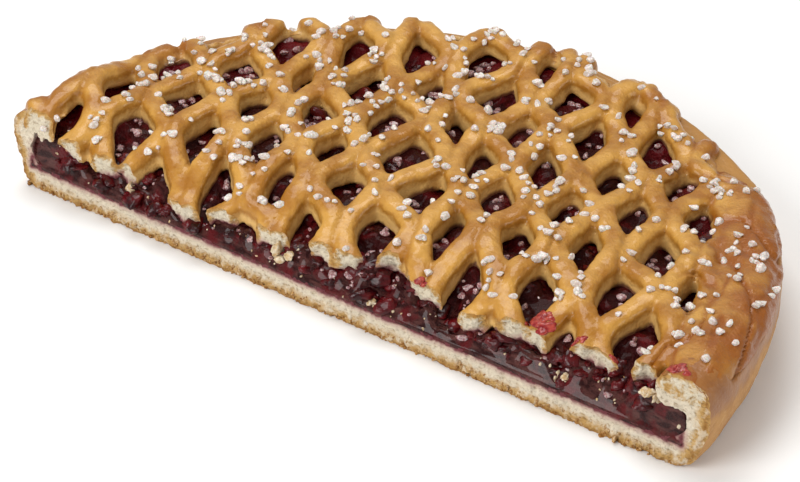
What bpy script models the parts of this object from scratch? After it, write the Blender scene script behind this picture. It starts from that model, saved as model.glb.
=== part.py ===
"""Half of a free-standing cherry lattice pie, cut straight across just in front of its centre.

Metres, +Z up.  +X runs along the cut, +Y from the cut towards the round back of the pie.
The origin lies on the table, in the middle of the pie's box.

Three solids: the dough crust (base and wall in one piece), the cherry filling that runs through
it and shows along the cut, and the dough lid, a pulled-open lattice that grows out of a rolled
border lying on the wall.
"""

import math
import random

import bmesh
import bpy
from mathutils import Vector

# ---------------------------------------------------------------- driving dimensions
PIE_RADIUS = 0.135            # at the widest, part-way up the wall
CUT_FROM_CENTRE = 0.008       # the knife passed this far in front of the centre
BASE_THICKNESS = 0.0085
WALL_TOP = 0.0274             # where the crust's wall ends and the lid's border begins
WIDEST_AT = 0.0195            # height at which the flared wall is widest
WALL_FLARE = ((0.1331, 0.0095), (0.1346, 0.0150), (PIE_RADIUS, WIDEST_AT), (0.1346, 0.0232))
SEAT_OUTSIDE = 0.1339         # the wall's flat top runs between these radii
SEAT_MIDDLE = 0.1310
SEAT_INSIDE = 0.1278
WALL_INSIDE = 0.1256          # radius of the wall's upright inner face
WALL_INSIDE_HEIGHTS = (0.0250, 0.0215)
BOTTOM_CORNER = 0.0065        # radius of the rounded lower edge
BOTTOM_CORNER_AT = 0.1245     # how far its middle lies from the pie's centre
CAVITY_END_RADIUS = 0.0058    # rounding of the hollow where base and wall meet
CAVITY_END_AT = 0.1218        # how far its middle lies from the pie's centre
BASE_RING = 0.070             # a ring of edges that halves the long triangles of the base

BORDER_FOOT = 0.0264          # lower outer edge of the border, just clear of the wall
BORDER_RADIUS = 0.1254        # middle line of the rolled border of the lid
BORDER_HALF_WIDTH = 0.0083
BORDER_TOP = 0.0317
BORDER_NARROWING = 0.75       # inner half of the border where the strand ends cover it
BORDER_LIP = ((0.1177, 0.0224), (0.1197, 0.0199), (0.1226, 0.0196), (0.1251, 0.0208))
BORDER_SEAT = ((0.12525, 0.0252), (0.1276, 0.0277), (0.1312, 0.0280))
GAP = 0.0003                  # kept between touching solids
UNDER_LID = 0.0009            # kept between the faceted filling and the faceted lid over it

LID_THICKNESS = 0.0075
LID_TOP = 0.0295              # over the middle of the pie, lower than the border
STRAND_OVER_BORDER = 0.0005   # the strands' crowns stand this much above the border
LID_SAG = 0.0072              # the lid droops this much more along the cut
SAG_LENGTH = 0.016            # how far behind the cut the droop reaches
SOFT_SPOTS = (                # (place along the cut, half width, extra droop) where it hangs lower
    (-0.062, 0.020, 0.0040),
    (-0.026, 0.010, 0.0018),
    (0.046, 0.010, 0.0020),
)
BREAK_LINE = 0.0044           # the strands broke off this far behind the cut on average
BREAKS = (                    # (place along the cut, half width, further behind the cut)
    (-0.110, 0.009, -0.0028),
    (-0.062, 0.016, -0.0036),
    (-0.028, 0.008, -0.0020),
    (0.016, 0.009, 0.0070),
    (0.047, 0.008, -0.0026),
    (0.094, 0.014, 0.0024),
)
BREAK_RAGGED = 0.0006         # the broken ends stagger by this much,
BREAK_RAGGED_WIDTH = 0.0021   # a few millimetres apart
LATTICE_RADIUS = 0.1235       # the strands end inside the rolled border
EYE_RADIUS = 0.118            # no opening has its middle further out than this
EYE_BEFORE_CUT = 0.016        # nor further in front of the cut than this
EYE_CIRCLE_SHIFT = -0.004     # the openings sit a little to the left of the pie's centre

STEP_RIGHT = Vector((0.01795, -0.01465))   # from one opening to the next along a row
STEP_FRONT = Vector((-0.00281, -0.02390))  # from one row to the next, towards the cut
FIRST_EYE = Vector((-0.0660, 0.0270))      # middle of the opening that the count starts from
JITTER = 0.0015               # uneven pull of the dough at each junction
SHEET_COLUMNS = 16            # cells of the sheet before it is trimmed
SHEET_ROWS = 17
FIRST_COLUMN = -5
FIRST_ROW = -7
SHEET_MARGIN = 0.012          # cells are kept this far outside the strands' outline
SHEET_BEFORE_CUT = 0.020      # and this far in front of the cut
EYE_TIP = 0.60                # opening's reach towards its four corners and four sides,
EYE_CORNER = 0.46             # as a share of the way from its middle to the middle
EYE_SIDE = 0.55               # lines of the strands around it
LONG_CORNER = 0.0155          # a cell's corner further out than this is one of its long ends
CROWN_HEIGHT = 1.0            # heights on a strand as shares of its thickness
SHOULDER_HEIGHT = 0.90
EDGE_HEIGHT = 0.50

LIP_RADIUS = 0.1165           # inside this the filling reaches up to the lattice
LIP_BOTTOM = 0.0190           # and outside it only to the lip of the border
LIP_INSIDE = 0.1175           # the filling's ledge under the lip runs between these radii
LIP_OUTSIDE = 0.1242
FILLING_RINGS = (0.1155, 0.107, 0.096, 0.083, 0.068, 0.050, 0.030, 0.0)
SLUMP_START = 0.0096          # height of the filling's face at the cut
SLUMP_SLOPE = 1.1             # rise of that face for each metre behind the cut
SLUMP_ENDS_FROM = 0.095       # beyond this the face rises towards the lip at either end
THINNEST_FILLING = 0.0008
FRONT_ROWS = (0.002, 0.005, 0.009, 0.014)  # rows of edges this far behind the cut follow the face

CRUST_STEPS = 80              # segments around the full pie
BORDER_STEPS = 120
OUTLINE_CUT_STEPS = 90        # segments of the guide that trims the lattice
OUTLINE_ARC_STEPS = 48
SCALLOP_FROM = math.radians(48)    # the strand ends roll over the border in small bumps
SCALLOP_TO = math.radians(176)     # between these angles; elsewhere it is smooth
SCALLOP_DEPTH = 0.0009
SCALLOP_GROWS = (0.122, 0.130)     # radii between which the bumps grow to their full depth
RIM_DIPS = (                  # (direction, half width, depth) where the rim was pressed lower
    (math.radians(56), math.radians(17), 0.0030),
    (math.radians(160), math.radians(9), 0.0038),
    (math.radians(184), math.radians(5), 0.0022),
)

CENTRE_SHIFT = -0.0006        # puts the uneven wall's box evenly about the origin
CUT_Y = -(PIE_RADIUS + CUT_FROM_CENTRE) / 2
CENTRE = Vector((CENTRE_SHIFT, CUT_Y + CUT_FROM_CENTRE, 0.0))
BASE_TOP = BASE_THICKNESS


# ---------------------------------------------------------------- shape of the whole pie
def smooth_step(low, high, value):
    share = min(max((value - low) / (high - low), 0.0), 1.0)
    return share * share * (3.0 - 2.0 * share)


def from_centre(x, y):
    return math.hypot(x - CENTRE.x, y - CENTRE.y)


def bumps(x, places):
    """Sum of smooth bumps, each given as (place, half width, height)."""
    return sum(height * math.exp(-(((x - place) / half) ** 2)) for place, half, height in places)


def wall_unevenness(angle):
    """Slow in-and-out wander of the hand-pressed wall, in metres."""
    return 0.0005 * math.sin(3.0 * angle + 0.6) + 0.0004 * math.sin(7.0 * angle + 2.1)


def rim_unevenness(angle):
    """Slow up-and-down wander of the rim, in metres, a little higher on the left."""
    return 0.0004 * math.sin(4.0 * angle + 1.2) + 0.0003 * math.sin(9.0 * angle) - 0.0004 * math.cos(angle)


def rim_dip(angle):
    """How much lower the rim lies where it was pressed down."""
    return bumps(angle % math.tau, RIM_DIPS)


def lid_top(x, y):
    """Height of the strands' crowns: level in the middle, rising to the border, drooping at the cut."""
    radius = from_centre(x, y)
    angle = math.atan2(y - CENTRE.y, x - CENTRE.x)
    behind_cut = max(y - CUT_Y, 0.0)
    near_border = smooth_step(0.098, 0.124, radius)
    droop = LID_SAG + bumps(x, SOFT_SPOTS)
    sag = droop * math.exp(-((behind_cut / SAG_LENGTH) ** 2)) * (1.0 - 0.75 * near_border)
    rise = BORDER_TOP + STRAND_OVER_BORDER - LID_TOP - rim_dip(angle)
    return LID_TOP + rise * near_border - sag


def lid_bottom(x, y):
    return lid_top(x, y) - LID_THICKNESS


def lattice_setback(x):
    """How far behind the cut the broken strand ends stop."""
    return BREAK_LINE + bumps(x, BREAKS) + BREAK_RAGGED * math.sin(x / BREAK_RAGGED_WIDTH)


def filling_top(x, y):
    """The filling lies against the underside of the lid and slumps down to the base at the cut."""
    held_up = (LIP_BOTTOM - SLUMP_START) * smooth_step(SLUMP_ENDS_FROM, LIP_RADIUS, abs(x))
    slumped = SLUMP_START + held_up + SLUMP_SLOPE * max(y - CUT_Y, 0.0)
    return max(min(lid_bottom(x, y) - UNDER_LID, slumped), BASE_TOP + THINNEST_FILLING)


# ---------------------------------------------------------------- modelling helpers
def material(name, colour, roughness, coat=0.0):
    made = bpy.data.materials.new(name)
    made.use_nodes = True
    shader = made.node_tree.nodes["Principled BSDF"]
    shader.inputs["Base Color"].default_value = (*colour, 1.0)
    shader.inputs["Roughness"].default_value = roughness
    shader.inputs["Metallic"].default_value = 0.0
    shader.inputs["Coat Weight"].default_value = coat
    made.diffuse_color = (*colour, 1.0)
    return made


def object_from(bm, name, look=None):
    mesh = bpy.data.meshes.new(name)
    bmesh.ops.recalc_face_normals(bm, faces=bm.faces)
    bm.to_mesh(mesh)
    bm.free()
    made = bpy.data.objects.new(name, mesh)
    bpy.context.scene.collection.objects.link(made)
    if look:
        mesh.materials.append(look)
    return made


def arc(centre_r, centre_z, radius_r, radius_z, start, end, steps):
    """Points (radius, height) along an elliptical arc, angles in degrees."""
    points = []
    for step in range(steps + 1):
        angle = math.radians(start + (end - start) * step / steps)
        points.append((centre_r + radius_r * math.cos(angle), centre_z + radius_z * math.sin(angle)))
    return points


def spun(profile, steps, closed):
    """A full turn of a profile of (radius, height) points about the pie's upright axis."""
    bm = bmesh.new()
    verts = [bm.verts.new((CENTRE.x + radius, CENTRE.y, height)) for radius, height in profile]
    pairs = list(zip(verts, verts[1:]))
    if closed:
        pairs.append((verts[-1], verts[0]))
    edges = [bm.edges.new(pair) for pair in pairs]
    bmesh.ops.spin(bm, geom=verts + edges, cent=CENTRE, axis=(0.0, 0.0, 1.0),
                   angle=math.tau, steps=steps, use_merge=True, use_duplicate=False)
    bmesh.ops.remove_doubles(bm, verts=bm.verts, dist=0.00002)
    return bm


def cut_across(bm):
    """Cuts the whole round at the knife's plane and closes the cut face."""
    bmesh.ops.bisect_plane(bm, geom=bm.verts[:] + bm.edges[:] + bm.faces[:], dist=0.00001,
                           plane_co=(0.0, CUT_Y, 0.0), plane_no=(0.0, 1.0, 0.0), clear_inner=True)
    rim = [edge for edge in bm.edges if edge.is_boundary]
    bmesh.ops.holes_fill(bm, edges=rim, sides=0)
    bmesh.ops.recalc_face_normals(bm, faces=bm.faces)


def triangulated(bm):
    bmesh.ops.triangulate(bm, faces=bm.faces, quad_method="BEAUTY", ngon_method="BEAUTY")
    return bm


def hide_guide(guide):
    guide.hide_render = True
    guide.display_type = "WIRE"


# ---------------------------------------------------------------- crust: base and wall
def crust_profile():
    """Out along the underside, up the wall, over its top, down inside it and back to the middle."""
    corner = arc(BOTTOM_CORNER_AT, BOTTOM_CORNER, BOTTOM_CORNER, BOTTOM_CORNER, -90, -24, 3)
    seat = [(SEAT_OUTSIDE, WALL_TOP - 0.0013), (SEAT_MIDDLE, WALL_TOP), (SEAT_INSIDE, WALL_TOP - 0.0003)]
    inside = [(WALL_INSIDE, height) for height in WALL_INSIDE_HEIGHTS]
    hollow_middle = BASE_TOP + CAVITY_END_RADIUS
    hollow = arc(CAVITY_END_AT, hollow_middle, CAVITY_END_RADIUS, CAVITY_END_RADIUS, 35, -90, 4)
    underside = [(0.0, 0.0), (BASE_RING, 0.0)]
    base_top = [(BASE_RING, BASE_TOP), (0.0, BASE_TOP)]
    return underside + corner + list(WALL_FLARE) + seat + inside + hollow + base_top


def shape_wall(bm):
    """Gives the turned wall its slow unevenness and dips, which fade out towards the flat base."""
    for vert in bm.verts:
        offset = vert.co - CENTRE
        radius = math.hypot(offset.x, offset.y)
        if radius < 0.110:
            continue
        angle = math.atan2(offset.y, offset.x)
        height = smooth_step(0.002, 0.020, vert.co.z)
        grown = radius + wall_unevenness(angle) * height
        vert.co.x = CENTRE.x + offset.x * grown / radius
        vert.co.y = CENTRE.y + offset.y * grown / radius
        vert.co.z += (rim_unevenness(angle) - rim_dip(angle)) * smooth_step(0.012, 0.026, vert.co.z)


def build_crust():
    bm = spun(crust_profile(), CRUST_STEPS, closed=False)
    shape_wall(bm)
    cut_across(bm)
    flat = [edge for edge in bm.edges if max(vert.co.z for vert in edge.verts) < 0.00001]
    bmesh.ops.dissolve_limit(bm, angle_limit=0.001, verts=bm.verts, edges=flat,
                             use_dissolve_boundaries=False)
    look = material("baked_dough_base", (0.62, 0.38, 0.17), 0.6)
    return object_from(triangulated(bm), "crust", look)


# ---------------------------------------------------------------- filling
def filling_profile():
    """Out along the base, up inside the wall, in under the lip and back along a flat top."""
    inset = CAVITY_END_RADIUS - GAP
    wall = arc(CAVITY_END_AT, BASE_TOP + CAVITY_END_RADIUS, inset, inset, -90, 30, 4)
    under_lip = [(LIP_OUTSIDE, LIP_BOTTOM), (LIP_INSIDE, LIP_BOTTOM)]
    rings = [(radius, LID_TOP - LID_THICKNESS) for radius in FILLING_RINGS]
    return [(0.0, BASE_TOP + GAP)] + wall + under_lip + rings


def build_filling():
    bm = spun(filling_profile(), CRUST_STEPS, closed=False)
    shape_wall(bm)
    cut_across(bm)
    for behind_cut in FRONT_ROWS:
        bmesh.ops.bisect_plane(bm, geom=bm.verts[:] + bm.edges[:] + bm.faces[:], dist=0.00001,
                               plane_co=(0.0, CUT_Y + behind_cut, 0.0), plane_no=(0.0, 1.0, 0.0))
    triangulated(bm)
    for vert in bm.verts:
        if vert.co.z > BASE_TOP + 2.0 * GAP and from_centre(vert.co.x, vert.co.y) < LIP_RADIUS:
            vert.co.z = filling_top(vert.co.x, vert.co.y)
    return object_from(bm, "filling", material("cherry_filling", (0.075, 0.004, 0.010), 0.12, coat=0.6))


# ---------------------------------------------------------------- lid: lattice and border
def junction(column, row):
    """Where two strands of the lattice meet, seen from above."""
    pull = random.Random(1009 * column + row)
    place = FIRST_EYE + STEP_RIGHT * (column - 0.5) + STEP_FRONT * (row - 0.5)
    return place + Vector((pull.gauss(0.0, JITTER), pull.gauss(0.0, JITTER)))


def has_eye(middle):
    """Openings fill the lid up to its border and run out through the cut."""
    inside = math.hypot(middle.x - EYE_CIRCLE_SHIFT, middle.y - CENTRE.y) < EYE_RADIUS
    return inside and middle.y > CUT_Y - EYE_BEFORE_CUT


def lattice_sheet():
    """One flat sheet of cells whose corners are the junctions of the strands."""
    bm = bmesh.new()
    bmesh.ops.create_grid(bm, x_segments=SHEET_COLUMNS, y_segments=SHEET_ROWS, size=0.5)
    for vert in bm.verts:
        column = FIRST_COLUMN + round((vert.co.x + 0.5) * SHEET_COLUMNS)
        row = FIRST_ROW + round((vert.co.y + 0.5) * SHEET_ROWS)
        place = junction(column, row)
        vert.co = (place.x, place.y, CROWN_HEIGHT)
    reach = LATTICE_RADIUS + SHEET_MARGIN
    outside = []
    for face in bm.faces:
        middle = face.calc_center_median()
        if from_centre(middle.x, middle.y) > reach or middle.y < CUT_Y - SHEET_BEFORE_CUT:
            outside.append(face)
    bmesh.ops.delete(bm, geom=outside, context="FACES")
    return bm


def eye_share(offset, is_side):
    """How far the opening reaches from its middle towards one point of its cell's outline."""
    if is_side:
        return EYE_SIDE
    return EYE_TIP if offset.length > LONG_CORNER else EYE_CORNER


def open_eyes(bm):
    """Opens the cells of the sheet; returns the edges that run from crown to opening."""
    split = bmesh.ops.bisect_edges(bm, edges=bm.edges, cuts=1)["geom_split"]
    sides = {item for item in split if isinstance(item, bmesh.types.BMVert)}
    eyes = [face for face in bm.faces if has_eye(face.calc_center_median())]
    closed = [face for face in bm.faces if face not in set(eyes)]
    bmesh.ops.poke(bm, faces=closed)
    across = []
    for face in eyes:
        middle = face.calc_center_median()
        bmesh.ops.inset_individual(bm, faces=[face], thickness=0.001, use_even_offset=False)
        inner = set(face.edges)
        for vert in face.verts:
            spoke = next(edge for edge in vert.link_edges if edge not in inner)
            crown = spoke.other_vert(vert)
            offset = (crown.co - middle).xy
            opening = middle.xy + offset * eye_share(offset, crown in sides)
            vert.co = (opening.x, opening.y, EDGE_HEIGHT)
            across.append(spoke)
    bmesh.ops.delete(bm, geom=eyes, context="FACES")
    return across


def thicken(bm, across):
    """Gives the sheet an underside and walls, and the strands a rounded shoulder."""
    lower = bmesh.ops.extrude_face_region(bm, geom=bm.faces[:], use_keep_orig=True)["geom"]
    for item in lower:
        if isinstance(item, bmesh.types.BMVert):
            item.co.z = 0.0
    inner = bmesh.ops.subdivide_edges(bm, edges=across, cuts=1)["geom_inner"]
    for item in inner:
        if isinstance(item, bmesh.types.BMVert):
            item.co.z = SHOULDER_HEIGHT


def lay_over_filling(bm):
    """Turns shares of the thickness into heights over the table."""
    for vert in bm.verts:
        low = lid_bottom(vert.co.x, vert.co.y)
        vert.co.z = low + vert.co.z * LID_THICKNESS


def lattice_outline():
    """Guide that trims the sheet: a broken line along the cut, an arc inside the border."""
    bm = bmesh.new()
    half = LATTICE_RADIUS
    points = []
    for step in range(OUTLINE_CUT_STEPS + 1):
        x = -half + 2.0 * half * step / OUTLINE_CUT_STEPS
        points.append((x, CUT_Y + lattice_setback(x)))
    for step in range(1, OUTLINE_ARC_STEPS):
        angle = math.pi * step / OUTLINE_ARC_STEPS
        points.append((half * math.cos(angle), CENTRE.y + half * math.sin(angle)))
    outline = bm.faces.new([bm.verts.new((x, y, -0.01)) for x, y in points])
    raised = bmesh.ops.extrude_face_region(bm, geom=[outline], use_keep_orig=True)["geom"]
    tops = [item for item in raised if isinstance(item, bmesh.types.BMVert)]
    bmesh.ops.translate(bm, verts=tops, vec=(0.0, 0.0, 0.07))
    return object_from(triangulated(bm), "lattice_outline")


def border_profile():
    """The rolled border: over the wall's top and down inside it to a short lip."""
    roll = arc(BORDER_RADIUS, BORDER_FOOT, BORDER_HALF_WIDTH, BORDER_TOP - BORDER_FOOT, 0, 180, 8)
    return roll + list(BORDER_LIP) + list(BORDER_SEAT)


def scallop(bm):
    """Small bumps where the strand ends roll over the border, every second segment."""
    segment = math.tau / BORDER_STEPS
    for vert in bm.verts:
        offset = vert.co - CENTRE
        radius = math.hypot(offset.x, offset.y)
        angle = math.atan2(offset.y, offset.x)
        bump = round(angle / segment) % 2
        if not SCALLOP_FROM < angle < SCALLOP_TO or vert.co.z < BORDER_FOOT + 0.001:
            continue
        grown = radius
        if radius < BORDER_RADIUS:
            grown = BORDER_RADIUS - (BORDER_RADIUS - radius) * BORDER_NARROWING
        if bump:
            grown += SCALLOP_DEPTH * smooth_step(*SCALLOP_GROWS, radius)
            vert.co.z += SCALLOP_DEPTH
        vert.co.x = CENTRE.x + offset.x * grown / radius
        vert.co.y = CENTRE.y + offset.y * grown / radius


def lid_border():
    bm = spun(border_profile(), BORDER_STEPS, closed=True)
    scallop(bm)
    shape_wall(bm)
    cut_across(bm)
    return object_from(triangulated(bm), "lid_border")


def build_lid():
    bm = lattice_sheet()
    across = open_eyes(bm)
    thicken(bm, across)
    lay_over_filling(bm)
    look = material("glazed_dough", (0.60, 0.33, 0.10), 0.35, coat=0.4)
    lid = object_from(triangulated(bm), "lattice_lid", look)
    for guide, operation in ((lattice_outline(), "INTERSECT"), (lid_border(), "UNION")):
        hide_guide(guide)
        join = lid.modifiers.new(guide.name, "BOOLEAN")
        join.operation = operation
        join.solver = "EXACT"
        join.object = guide
    return lid


# ---------------------------------------------------------------- the whole pie
def main():
    for old in list(bpy.data.objects):
        bpy.data.objects.remove(old)
    build_crust()
    build_filling()
    build_lid()


main()
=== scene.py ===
"""Half of a cherry lattice pie: dough base and wall, cherry filling, glazed lattice, coarse sugar.

Metres, +Z up, +X along the cut, +Y away from it.  The pieces follow in the order in which the
real pie is put together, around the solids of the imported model.
"""

import math
import random

import bmesh
import bpy
from mathutils import Matrix, Vector, noise
from mathutils.bvhtree import BVHTree
from mathutils.kdtree import KDTree


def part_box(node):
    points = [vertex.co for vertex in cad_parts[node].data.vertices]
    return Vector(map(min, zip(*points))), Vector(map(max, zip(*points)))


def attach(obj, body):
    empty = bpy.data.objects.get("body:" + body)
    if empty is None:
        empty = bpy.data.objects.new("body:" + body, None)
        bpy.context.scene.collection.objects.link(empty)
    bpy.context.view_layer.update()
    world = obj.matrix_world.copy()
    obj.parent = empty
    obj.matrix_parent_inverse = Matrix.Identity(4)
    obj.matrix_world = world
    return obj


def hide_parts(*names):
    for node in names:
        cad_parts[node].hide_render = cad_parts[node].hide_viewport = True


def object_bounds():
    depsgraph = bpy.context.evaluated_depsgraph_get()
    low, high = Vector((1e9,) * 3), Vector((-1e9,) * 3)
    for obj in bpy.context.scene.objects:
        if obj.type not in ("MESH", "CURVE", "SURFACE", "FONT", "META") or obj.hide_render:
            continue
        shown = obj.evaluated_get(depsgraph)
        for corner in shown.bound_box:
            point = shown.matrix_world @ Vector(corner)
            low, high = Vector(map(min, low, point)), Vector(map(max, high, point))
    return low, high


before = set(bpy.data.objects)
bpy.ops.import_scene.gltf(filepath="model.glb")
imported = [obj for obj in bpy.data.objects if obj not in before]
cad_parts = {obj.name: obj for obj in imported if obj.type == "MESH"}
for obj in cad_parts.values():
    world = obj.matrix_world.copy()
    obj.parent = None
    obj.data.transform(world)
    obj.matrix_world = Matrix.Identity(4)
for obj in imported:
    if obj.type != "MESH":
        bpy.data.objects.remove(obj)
cad_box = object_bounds()
scene = bpy.context.scene
scene.view_settings.view_transform = "Standard"

# ---------------------------------------------------------------- camera
# A long lens nearly a metre away, above and to the right of the middle of the cut, looks down on
# the lattice, so that the cut face, the right end and the far rim all show.
LENS_MM = 117.17
LENS_PLACE = (0.40714, -0.59916, 0.47528)
LENS_TILT = math.radians(56.125)
LENS_TURN = math.radians(35.860)

camera = bpy.data.objects.new("camera", bpy.data.cameras.new("camera"))
camera.data.lens = LENS_MM
camera.location = LENS_PLACE
camera.rotation_euler = (LENS_TILT, 0.0, LENS_TURN)
scene.collection.objects.link(camera)
scene.camera = camera

# ---------------------------------------------------------------- base and wall
# One round of soft yeast dough, pressed up against the tin into a wall whose top curls inwards.
# Out of the tin its outside is brown and dry; the knife and the fingers that broke the pie in
# half left a torn, pale crumb on the front.
CUT_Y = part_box("crust")[0].y
PIE_CENTRE = Vector((-0.0006, CUT_Y + 0.008, 0.0))
BACK_Y = cad_box[1].y + 0.010
BASE_TOP = 0.0085
ROUND_STEPS = 560                  # segments of the full turn, 1.5 mm each at the wall
OUTLINE_GAP = 0.0011               # between points of the wall's outline
BOTTOM_OUTLINE = ((0.0, 0.0), (0.070, 0.0), (0.110, 0.0), (0.1235, 0.0001))
WALL_OUTLINE = (                   # (radius, height) up the outside, over the curl and down inside
    (0.1235, 0.0001), (0.1272, 0.0008), (0.1303, 0.0030), (0.1320, 0.0060), (0.1331, 0.0100),
    (0.1344, 0.0150), (0.1348, 0.0195), (0.1346, 0.0232), (0.1341, 0.0262), (0.1325, 0.0290),
    (0.1293, 0.0311), (0.1254, 0.0317), (0.1214, 0.0309), (0.1185, 0.0288), (0.1170, 0.0262),
    (0.1176, 0.0226), (0.1196, 0.0201), (0.1224, 0.0197), (0.1252, 0.0206), (0.1268, 0.0186),
    (0.1276, 0.0155), (0.1268, 0.0122), (0.1247, 0.0097), (0.1212, 0.0086),
)
INSIDE_OUTLINE = ((0.1212, 0.0086), (0.100, BASE_TOP), (0.070, BASE_TOP), (0.0, BASE_TOP))
RIM_DIPS = (                       # (direction, half width, depth) where the rim was pressed lower
    (math.radians(56.0), math.radians(17.0), 0.0030),
    (math.radians(160.0), math.radians(9.0), 0.0038),
    (math.radians(184.0), math.radians(5.0), 0.0022),
)
FLAT_RADIUS = 0.105                # up to here the base is flat and even
WALL_RADIUS = 0.115                # beyond this lies the wall with its curl
FILLED_RADIUS = 0.1279             # the filling covers the dough up to here
FILLED_HEIGHTS = (0.0084, 0.0212)
MARGIN_END = math.radians(50.0)    # up to here from the right end, the lid has a broad closed margin
CURL_FOOT = 0.0254                 # height above which the lid's dough covers the curl
COVERED_LOWER = 0.0026             # under the lid's dough the curl lies this much lower
COVERED_INWARD = 0.0009            # and leans in this much
SCALLOPED_FOOT = 0.0017            # where strands run over the rim, it covers this much more of it,
SCALLOPED_LOWER = 0.0014           # which lies this much lower still
SCALLOPED_INWARD = 0.0017          # and leans in this much more
CURL_OUTWARD = 0.0055              # the curl is pushed back this far, to leave the openings free
CURL_OUTWARD_INLAND = 0.0022       # and this much more away from the cut
HOOK_LOWER = 0.0016                # the left end's top lies this much lower
END_FULLER = 0.0013                # the wall's right end stands out this much further
HOOK_THINNER = 0.0034              # the left end's hook is this much thinner than the right one's
END_SLOPE_RIGHT = 0.0006           # at the top of either end the dough tore back this much further
END_SLOPE_LEFT = 0.0034
FACE_FORWARD = 0.0001              # the broken face stands this far before the cut's plane,
FACE_SKEW = 0.0107                 # runs a little askew to it
FACE_LEAN = 0.0010                 # and sticks out this much further at its foot
TEAR_SIZES = ((0.0080, 0.00060), (0.0028, 0.00070), (0.0012, 0.00055))   # (width, depth)
TEAR_GAP = 0.00048                 # between points of the torn face
BLOCK_WIDTH = 0.300                # of the block whose torn front cuts the pieces: more than the pie's
BLOCK_HEIGHT = 0.044
BLOCK_MIDDLE = 0.4                 # height of its middle, as a share of its own height
RAGGED_HEIGHT = 0.0030             # the browned underside crumbled along the cut up to here
RAGGED_SIZES = ((0.0042, 0.0009), (0.0015, 0.0010))
WALL_WRINKLES = ((0.0110, 0.00040), (0.0040, 0.00020), (0.0018, 0.00010))
SHARE, FIRST, SECOND = 0, 6, 7     # inputs of a Mix node that mixes colours
COLOURS = {"data_type": "RGBA", "output": 2}   # how such a node is set, and its output


def smooth_step(low, high, value):
    """0 up to low, 1 from high on, and a smooth rise between them."""
    share = min(max((value - low) / (high - low), 0.0), 1.0)
    return share * share * (3.0 - 2.0 * share)


def bumps(x, places):
    """Sum of smooth bumps, each given as (place, half width, height)."""
    return sum(height * math.exp(-(((x - place) / half) ** 2)) for place, half, height in places)


def rough(place, sizes, layer=0.0):
    """Layered noise: for each (width, depth) a wander of that size about nought."""
    beside = Vector((layer, layer * 2.0, 7.0))
    return sum(depth * noise.noise(place / width + beside) for width, depth in sizes)


def direction(x, y):
    """Angle about the pie's middle: 0 at the right end, a quarter turn at the back, half at the left."""
    return (math.atan2(y - PIE_CENTRE.y, x - PIE_CENTRE.x) + math.pi / 2.0) % math.tau - math.pi / 2.0


def past_margin(angle, before=0.1, after=0.1):
    """0 along the broad margin, 1 where the strands run over the rim."""
    return smooth_step(MARGIN_END - before, MARGIN_END + after, angle)


def wall_unevenness(angle):
    """Slow in-and-out wander of the hand-pressed wall, as in the solid crust."""
    return 0.0005 * math.sin(3.0 * angle + 0.6) + 0.0004 * math.sin(7.0 * angle + 2.1)


def rim_unevenness(angle):
    """Slow up-and-down wander of the rim and its dips, as in the solid crust."""
    wander = 0.0004 * math.sin(4.0 * angle + 1.2) + 0.0003 * math.sin(9.0 * angle)
    return wander - 0.0004 * math.cos(angle) - bumps(angle % math.tau, RIM_DIPS)


def shape_wall(bm):
    """Gives turned dough the wall's slow unevenness, which fades out towards the flat base."""
    for vert in bm.verts:
        offset = vert.co - PIE_CENTRE
        radius = offset.xy.length
        if radius < FLAT_RADIUS:
            continue
        angle = direction(vert.co.x, vert.co.y)
        grown = radius + wall_unevenness(angle) * smooth_step(0.002, 0.020, vert.co.z)
        vert.co.x = PIE_CENTRE.x + offset.x * grown / radius
        vert.co.y = PIE_CENTRE.y + offset.y * grown / radius
        vert.co.z += rim_unevenness(angle) * smooth_step(0.012, 0.026, vert.co.z)


def curve_through(points, gap):
    """Points about a gap apart along a smooth curve through the given ones."""
    ends = [points[0] * 2.0 - points[1], *points, points[-1] * 2.0 - points[-2]]
    curve = [points[0]]
    for before, start, end, after in zip(ends, ends[1:], ends[2:], ends[3:]):
        steps = max(1, round((end - start).length / gap))
        for step in range(1, steps + 1):
            t = step / steps
            bend = (end - before) * t + (before * 2.0 - start * 5.0 + end * 4.0 - after) * t ** 2
            curve.append(start + (bend + (start * 3.0 - end * 3.0 + after - before) * t ** 3) / 2.0)
    return curve


def spun(outline, closed):
    """A full turn of an outline of (radius, height) points about the pie's upright axis."""
    bm = bmesh.new()
    verts = [bm.verts.new((PIE_CENTRE.x + radius, PIE_CENTRE.y, height)) for radius, height in outline]
    pairs = list(zip(verts, verts[1:]))
    if closed:
        pairs.append((verts[-1], verts[0]))
    edges = [bm.edges.new(pair) for pair in pairs]
    bmesh.ops.spin(bm, geom=verts + edges, cent=PIE_CENTRE, axis=(0.0, 0.0, 1.0), angle=math.tau,
                   steps=ROUND_STEPS, use_merge=True, use_duplicate=False)
    bmesh.ops.remove_doubles(bm, verts=bm.verts, dist=0.00001)
    bmesh.ops.recalc_face_normals(bm, faces=bm.faces)
    return bm


def mesh_from(bm, name):
    """Ends a bmesh and gives what it holds as a mesh."""
    mesh = bpy.data.meshes.new(name)
    bm.to_mesh(mesh)
    bm.free()
    return mesh


def object_from(bm, name, *looks):
    """Ends a bmesh and puts what it holds into the scene, with its materials."""
    made = bpy.data.objects.new(name, mesh_from(bm, name))
    for look in looks:
        made.data.materials.append(look)
    scene.collection.objects.link(made)
    return made


def open_edges(bm):
    return [edge for edge in bm.edges if edge.is_boundary]


def pull_and_close(bm, axis, to):
    """Pulls the open rim of a surface out to a place along an axis and closes it there."""
    for item in bmesh.ops.extrude_edge_only(bm, edges=open_edges(bm))["geom"]:
        if isinstance(item, bmesh.types.BMVert):
            item.co[axis] = to
    bmesh.ops.holes_fill(bm, edges=open_edges(bm), sides=0)
    bmesh.ops.recalc_face_normals(bm, faces=bm.faces)


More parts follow.
